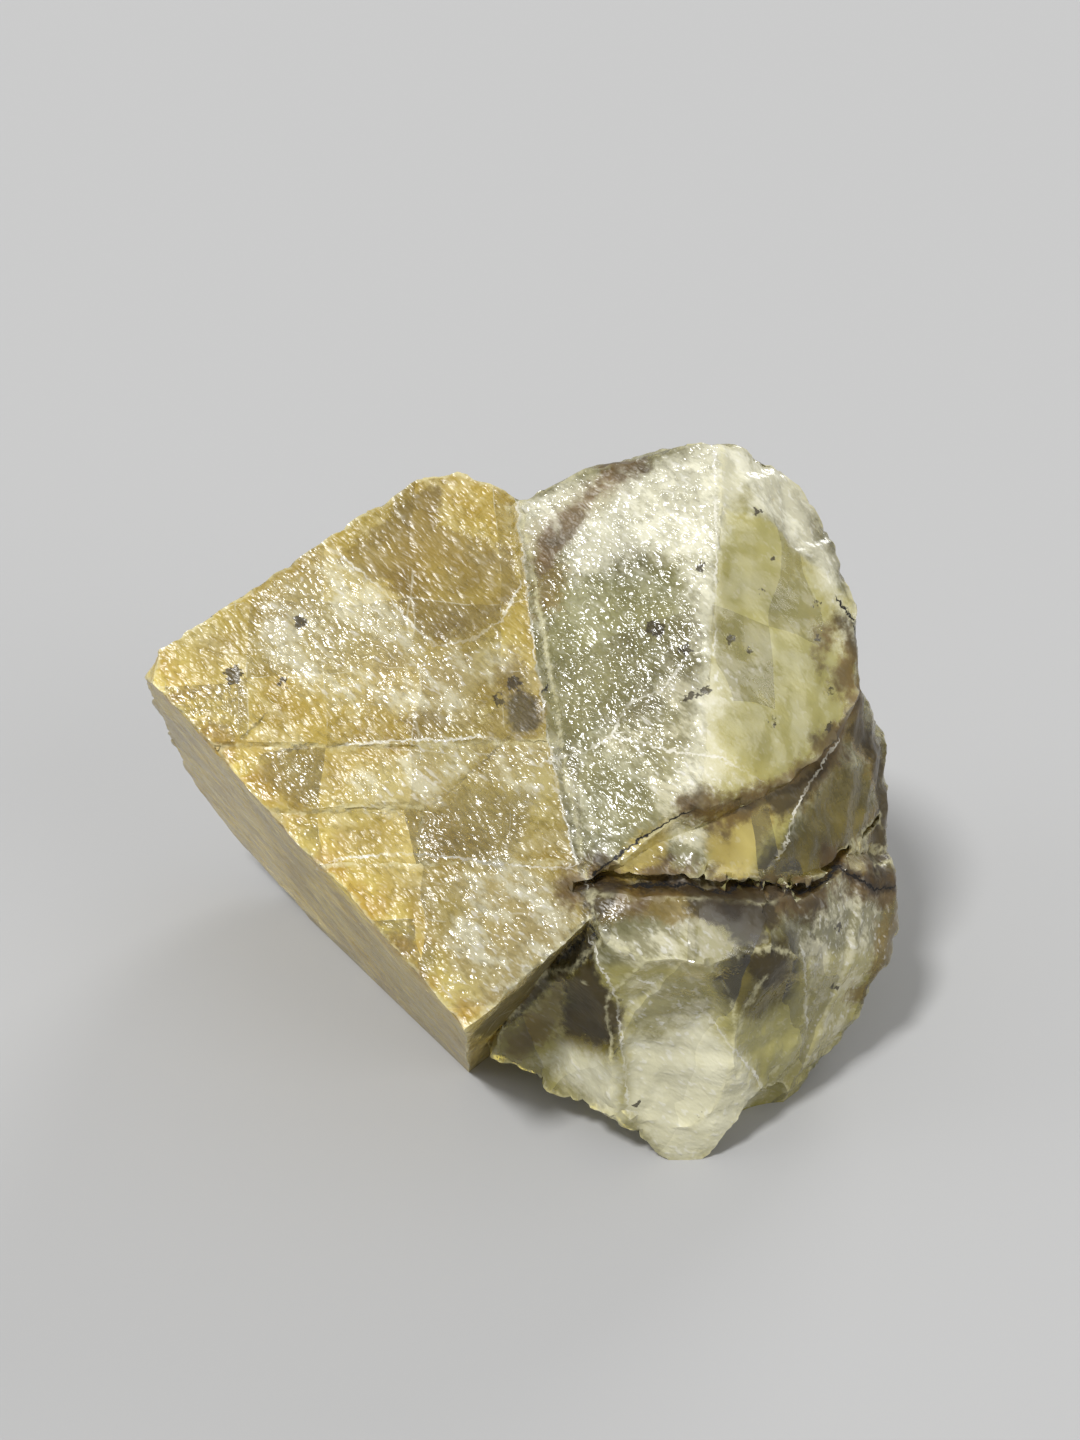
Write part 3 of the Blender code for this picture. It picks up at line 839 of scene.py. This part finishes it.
# %% The masks of the patches and of the lines
amber_mask = finish.between(finish.kept("amber"), 0.35, 0.65)
brown_mask = patch("brown", 0.6, 2.2)
olive_mask = patch("olive", 0.8, 1.2) * (1 - amber_mask)
deep_mask = patch("deep", 0.8, 1.2)
shade_and_stain_mask = patch("shade", 0.5, 1.6)
gold_mask = patch("gold", 0.6)
frost_mask = patch("frost", 0.9, 2.2)
cream_and_highlight_mask = patch("cream", 1.0)
crack_mask = line("dark", 0.17, 0.9) * (1 - amber_mask * (1 - 0.55 * fades))
seam_and_highlight_mask = line("light", 0.15, 0.9) * (0.25 + 0.75 * fades)
rust_halo = finish.between(
    finish.kept("rusty_near") + tear * 2.4 + (slow - 0.5) * 4.0, 2.0, 0.3)
near_crack_dark = finish.between(finish.kept("rusty_near") + tear * 1.4, 0.75, 0.15) * (
    finish.between(finish.kept("dark_near"), 1.4, 0.7))
chip_and_highlight_mask = finish.between(finish.kept("ridge") + tear * 0.9, 0.45, 0.05)
print("masks:", len(finish.tree.nodes), "nodes")

# %% [markdown]
# ## The finish: cleavage
# The planes that made the steps also run through the inside and divide it into slanted
# blocks. The shader counts them in the same way as the relief did, so colour and shape
# agree. Each block gets its own random number, and the walls between blocks show as
# thin white lines where the crystal has begun to part.

# %% Slanted blocks and the walls between them
HALF_WAY = 0.5


def cleavage(spacing):
    """A random number for the block a place is in, and millimetres to its wall."""
    counts = []
    for i, plane in enumerate(PLANES):
        steps = finish.along(in_amber, plane / spacing)
        steps += UNEVEN * finish.sum_of("SINE", steps * 2.1 + i * 1.9)
        counts.append(steps + finish_sway)
    wall = 1.0
    for steps in counts:
        wall = finish.sum_of("MINIMUM", wall, finish.sum_of("PINGPONG", steps, HALF_WAY))
    block = finish.node("CombineXYZ", inputs={
        i: finish.sum_of("FLOOR", steps) for i, steps in enumerate(counts)})
    return finish.node("TexWhiteNoise", inputs={"Vector": block}), wall * spacing


finish_sway = (wide - 0.5) * SWAY
block, wall = cleavage(WIDE_BLOCK)
chip_block, _ = cleavage(SMALL_BLOCK)
parted = finish.between(wall + tear * 0.12, 0.09, 0.02) * finish.between(fades, 0.6, 0.9)
print("cleavage:", len(finish.tree.nodes), "nodes")

# %% [markdown]
# ## The finish: colours
# Honey and brown in the amber crystal, sage and yellow-green in the other, cream where
# the surface is frosted. Painted light is mixed in as well: painted shade in the dark
# patches and the etch pits, and painted highlights in the cream, along the ridges, on the
# lit edge and in white glints. Each block holds a slightly different depth of colour, and
# veils of tiny bubbles cloud it. Colours are given as 0-255 screen values, and most come
# as a pair, so that slow noise can wander between a darker and a lighter tone.

# %% The colours by name, from dark to light where there are two
HONEY = tone(146, 120, 38), tone(212, 194, 104)
WARM_HONEY = tone(190, 156, 52)
FLANK_HONEY = tone(132, 104, 34), tone(222, 196, 112)
PALE_STREAK = tone(230, 210, 136)
HONEY_VEIL = tone(230, 216, 158)
SAGE = tone(88, 87, 58), tone(162, 157, 112)
WARM_SAGE = tone(142, 138, 98)
LIME = tone(176, 166, 84), tone(226, 216, 136)
SAGE_VEIL = tone(220, 218, 190)
OLIVE = tone(110, 111, 70), tone(170, 168, 120)
BLOCK_BROWN = tone(98, 80, 20)
DEEP_OLIVE = tone(50, 42, 6), tone(122, 106, 38)
GOLD = tone(154, 128, 50), tone(218, 196, 112)
FROST, CREAM_AND_HIGHLIGHT = tone(230, 224, 192), tone(248, 245, 220)
STAIN_BROWN = tone(84, 62, 18), tone(156, 132, 66)
RUST = tone(46, 30, 4), tone(132, 96, 34)
DARK_CRUST_AND_SHADE = tone(26, 18, 2), tone(66, 52, 16)
NEAR_CRACK_DARK = tone(44, 30, 8)
LIT_GOLD = tone(200, 158, 44), tone(250, 226, 120)
PIT_SHADE_BROWN = tone(74, 62, 22)
WALL_WHITE, CHIP_AND_HIGHLIGHT_PALE = tone(238, 234, 212), tone(240, 234, 190)
SEAM_AND_HIGHLIGHT_WHITE, GLINT_WHITE = tone(246, 243, 228), tone(254, 252, 244)
SPECK_BROWN, CRACK_BLACK = tone(44, 32, 18), tone(16, 11, 6)
print("honey as light:", [round(c, 2) for c in HONEY[1][:3]])

# %% Veils, painted glints and painted shade in the etch pits
veil = finish.between(finish.clouds(streaked, 1.9, 4.0, 0.70), 0.46, 0.62)
striae = finish.between(finish.clouds(brushed, 0.42, 2.0), 0.40, 0.62)
glint = finish.between(etch, 0.59, 0.70)
pit_shade = finish.between(etch, 0.44, 0.34)
speck = finish.between(finish.kept("speck") + tear * 1.6, -0.03, 0.12)

# %% The two crystals and their blocks
amber_body = finish.mix(slow, *HONEY)
amber_body = finish.mix(wide * 0.4, amber_body, WARM_HONEY)
amber_body = finish.mix(flank * 0.45, amber_body, finish.mix(fades, *FLANK_HONEY))
amber_body = finish.mix(striae * (0.2 + 0.15 * flank), amber_body, PALE_STREAK)
amber_body = finish.mix(veil * 0.50, amber_body, HONEY_VEIL)
green_body = finish.mix(slow, *SAGE)
green_body = finish.mix(wide * 0.4, green_body, WARM_SAGE)
green_body = finish.mix(glassy * 0.7, green_body, finish.mix(slow, *LIME))
green_body = finish.mix(veil * (0.45 - 0.3 * glassy), green_body, SAGE_VEIL)
body = finish.mix(amber_mask, green_body, amber_body)
body = finish.mix(olive_mask * (0.6 - 0.3 * glassy), body, finish.mix(slow, *OLIVE))
block_share = (block * 0.34 + chip_block * 0.18) * (1 - 0.45 * glassy - 0.3 * flank)
body = finish.mix(block_share, body, finish.mix(0.62, body, BLOCK_BROWN))
print("crystals and blocks:", len(finish.tree.nodes), "nodes")

# %% Patches, frost and iron, with painted shade and painted highlights
body = finish.mix(deep_mask * 0.85, body, finish.mix(slow, *DEEP_OLIVE))
body = finish.mix(gold_mask * 0.65, body, finish.mix(slow, *GOLD))
body = finish.mix(frost_mask * (0.16 + 0.06 * amber_mask + veil * 0.55), body, FROST)
# Cream, with painted highlights at the top and down the crest.
body = finish.mix(cream_and_highlight_mask * (0.60 + veil * (0.35 - 0.25 * glassy)), body, CREAM_AND_HIGHLIGHT)
body = finish.mix(brown_mask * (0.55 + 0.3 * wide) * (1 - 0.5 * cream_and_highlight_mask), body,
                  finish.mix(slow, *STAIN_BROWN))
body = finish.mix(rust_halo * (0.85 - 0.5 * veil * cream_and_highlight_mask), body,
                  finish.mix(slow, *RUST))
# Painted shade and dark crust in the dark patches.
body = finish.mix(shade_and_stain_mask * 0.85, body, finish.mix(slow, *DARK_CRUST_AND_SHADE))
# Darker close to the cracks and the rusty lines.
body = finish.mix(near_crack_dark * 0.8, body, NEAR_CRACK_DARK)
# The painted highlight along the lit edge.
body = finish.mix(finish.kept("lit_edge") * 0.7, body, finish.mix(fades, *LIT_GOLD))
# Painted shade in the low parts of the etch marks.
body = finish.mix(pit_shade * etched * 0.3 * (1 - glassy), body,
                  finish.mix(0.75, body, PIT_SHADE_BROWN))
print("patches:", len(finish.tree.nodes), "nodes")

# %% White lines and painted highlights, painted glints and specks
body = finish.mix(parted * 0.35 * amber_mask, body, WALL_WHITE)
# Pale along the sharp ridges: partly the white of chips, partly a painted highlight where
# they catch the light.
body = finish.mix(chip_and_highlight_mask * 0.5 * (1 - 0.9 * rust_halo), body, CHIP_AND_HIGHLIGHT_PALE)
# The light lines: healed seams and scratches, and painted highlights along the ridges of the
# foot and the crest.
body = finish.mix(seam_and_highlight_mask * 0.85, body, SEAM_AND_HIGHLIGHT_WHITE)
# Painted highlights: white glints painted into the colour, most on frost and cream.
glint_share = glint * (0.10 + 0.35 * frost_mask + 0.25 * cream_and_highlight_mask) * (
    1 - 0.8 * deep_mask) * (1 - 0.7 * rust_halo) * (1 - 0.7 * shade_and_stain_mask)
body = finish.mix(glint_share, body, GLINT_WHITE)
body = finish.mix(speck * 0.85, body, SPECK_BROWN)
body = finish.mix(crack_mask, body, CRACK_BLACK)
print("colours:", len(finish.tree.nodes), "nodes")

# %% [markdown]
# ## The finish: shine and depth
# Frosted faces are covered with etch marks a few tenths of a millimetre long, far finer
# than the net, so those come from a bump map. Clear windows are a second shader, almost
# all transmission, and a mask decides how much of it shows. Both share the inside, which
# is a plain absorption that swallows blue and lets the honey colour through.

# %% Bump and roughness
ETCH_DEPTH = 0.31 * MM
clouded = frost_mask + cream_and_highlight_mask
etch_height = etch * etched * (0.85 + 0.15 * clouded - 0.25 * brown_mask) * (
    0.72 + 0.56 * fades)
bumped = finish.node("Bump", inputs={
    "Strength": 0.9, "Distance": ETCH_DEPTH, "Height": etch_height})
rough = 0.10 + 0.12 * etch + 0.3 * rust_halo + 0.4 * crack_mask
rough += 0.13 * amber_mask * (1 - 0.8 * clouded) * (1 - glassy) + 0.2 * shade_and_stain_mask

# %% The two shaders and the inside
FLUORITE_IOR = 1.434
CLOUDY, CLEAR = 0.40, 0.95
HONEY_LIGHT, DEPTH_OF_COLOUR = (0.80, 0.73, 0.05, 1), 36.0
cloudy = finish.node("BsdfPrincipled", inputs={
    "Base Color": body, "Roughness": rough, "Normal": bumped,
    "IOR": FLUORITE_IOR, "Transmission Weight": CLOUDY})
clear = finish.node("BsdfPrincipled", inputs={
    "Base Color": finish.mix(0.5, body, (1, 1, 1, 1)), "Roughness": rough * 0.5,
    "Normal": bumped, "IOR": FLUORITE_IOR, "Transmission Weight": CLEAR})
window = finish.between(block + tear * 0.3, 0.45, 0.62) * (
    0.20 + 0.5 * deep_mask + 0.35 * gold_mask + 0.10 * glassy) * (
    1 - 0.7 * rust_halo) * (1 - 0.6 * cream_and_highlight_mask) * (1 - 0.35 * flank)
surface = finish.node("MixShader", inputs={0: window, 1: cloudy, 2: clear})
inside = finish.node("VolumeAbsorption", inputs={
    "Color": HONEY_LIGHT, "Density": DEPTH_OF_COLOUR})
finish.node("OutputMaterial", inputs={"Surface": surface, "Volume": inside})
print("finish:", len(finish.tree.nodes), "nodes")

# %% Put it in the frame
stone.data.materials.clear()
stone.data.materials.append(finish.material)
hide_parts("fluorite_cluster")
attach(stone, "root")

# %% [markdown]
# ## Table, light and camera
# A plain pale table, one soft lamp high in front that the frosted faces glitter in, and
# weak ones for the sides and the back. Distant lamps light the table evenly, so its
# colour can be worked out to match the sky: then there is no horizon in low views.

# %% Lamps
SKY = 0.60
LAMP_AWAY = 0.6


def lamp(name, direction, strength, softness):
    """A distant soft lamp that shines on the stone from the given direction."""
    light = bpy.data.lights.new(name, "SUN")
    light.energy = strength
    light.angle = math.radians(softness)
    holder = bpy.data.objects.new(name, light)
    away = Vector(direction).normalized()
    holder.location = away * LAMP_AWAY
    holder.rotation_euler = away.to_track_quat("Z", "Y").to_euler()
    bpy.context.scene.collection.objects.link(holder)
    return strength * away.z  # the light that it lends to a level table


on_table = math.pi * SKY
on_table += lamp("main lamp", (-0.32, -0.40, 0.86), 3.1, 10)
on_table += lamp("back lamp", (0.35, 0.80, 0.45), 1.2, 25)
on_table += lamp("right lamp", (0.60, -0.60, 0.45), 0.8, 30)
on_table += lamp("left lamp", (-0.85, -0.10, 0.30), 0.6, 30)
print("light on the table: %.2f" % on_table)

# %% Sky
sky = bpy.data.worlds.new("studio")
sky.use_nodes = True
glow = sky.node_tree.nodes["Background"]
glow.inputs["Color"].default_value = (1.0, 1.0, 1.0, 1)
glow.inputs["Strength"].default_value = SKY
bpy.context.scene.world = sky
bpy.context.scene.view_settings.view_transform = "Standard"

# %% Table
TABLE_REACH = 4.0
table_tone = SKY * math.pi / on_table
floor_bm = bmesh.new()
bmesh.ops.create_grid(floor_bm, x_segments=1, y_segments=1, size=TABLE_REACH)
floor_mesh = bpy.data.meshes.new("floor")
floor_bm.to_mesh(floor_mesh)
floor_bm.free()
floor = bpy.data.objects.new("floor", floor_mesh)
bpy.context.scene.collection.objects.link(floor)
paper = bpy.data.materials.new("pale paper")
paper.use_nodes = True
paper_shader = paper.node_tree.nodes["Principled BSDF"]
paper_shader.inputs["Base Color"].default_value = (table_tone, table_tone, table_tone, 1)
paper_shader.inputs["Roughness"].default_value = 1.0
paper_shader.inputs["Specular IOR Level"].default_value = 0.0
floor_mesh.materials.append(paper)
print("table tone: %.2f" % table_tone)

# %% Camera
CAMERA_PLACE = (0.00102, -0.160, 0.1209)
CAMERA_TILT = math.radians(60)
camera_data = bpy.data.cameras.new("camera")
camera_data.sensor_fit = "VERTICAL"
camera_data.sensor_height = 36.0
camera_data.lens = 54.1
camera_data.clip_start = 0.01
camera = bpy.data.objects.new("camera", camera_data)
camera.location = CAMERA_PLACE
camera.rotation_euler = (CAMERA_TILT, 0, 0)
bpy.context.scene.collection.objects.link(camera)
bpy.context.scene.camera = camera
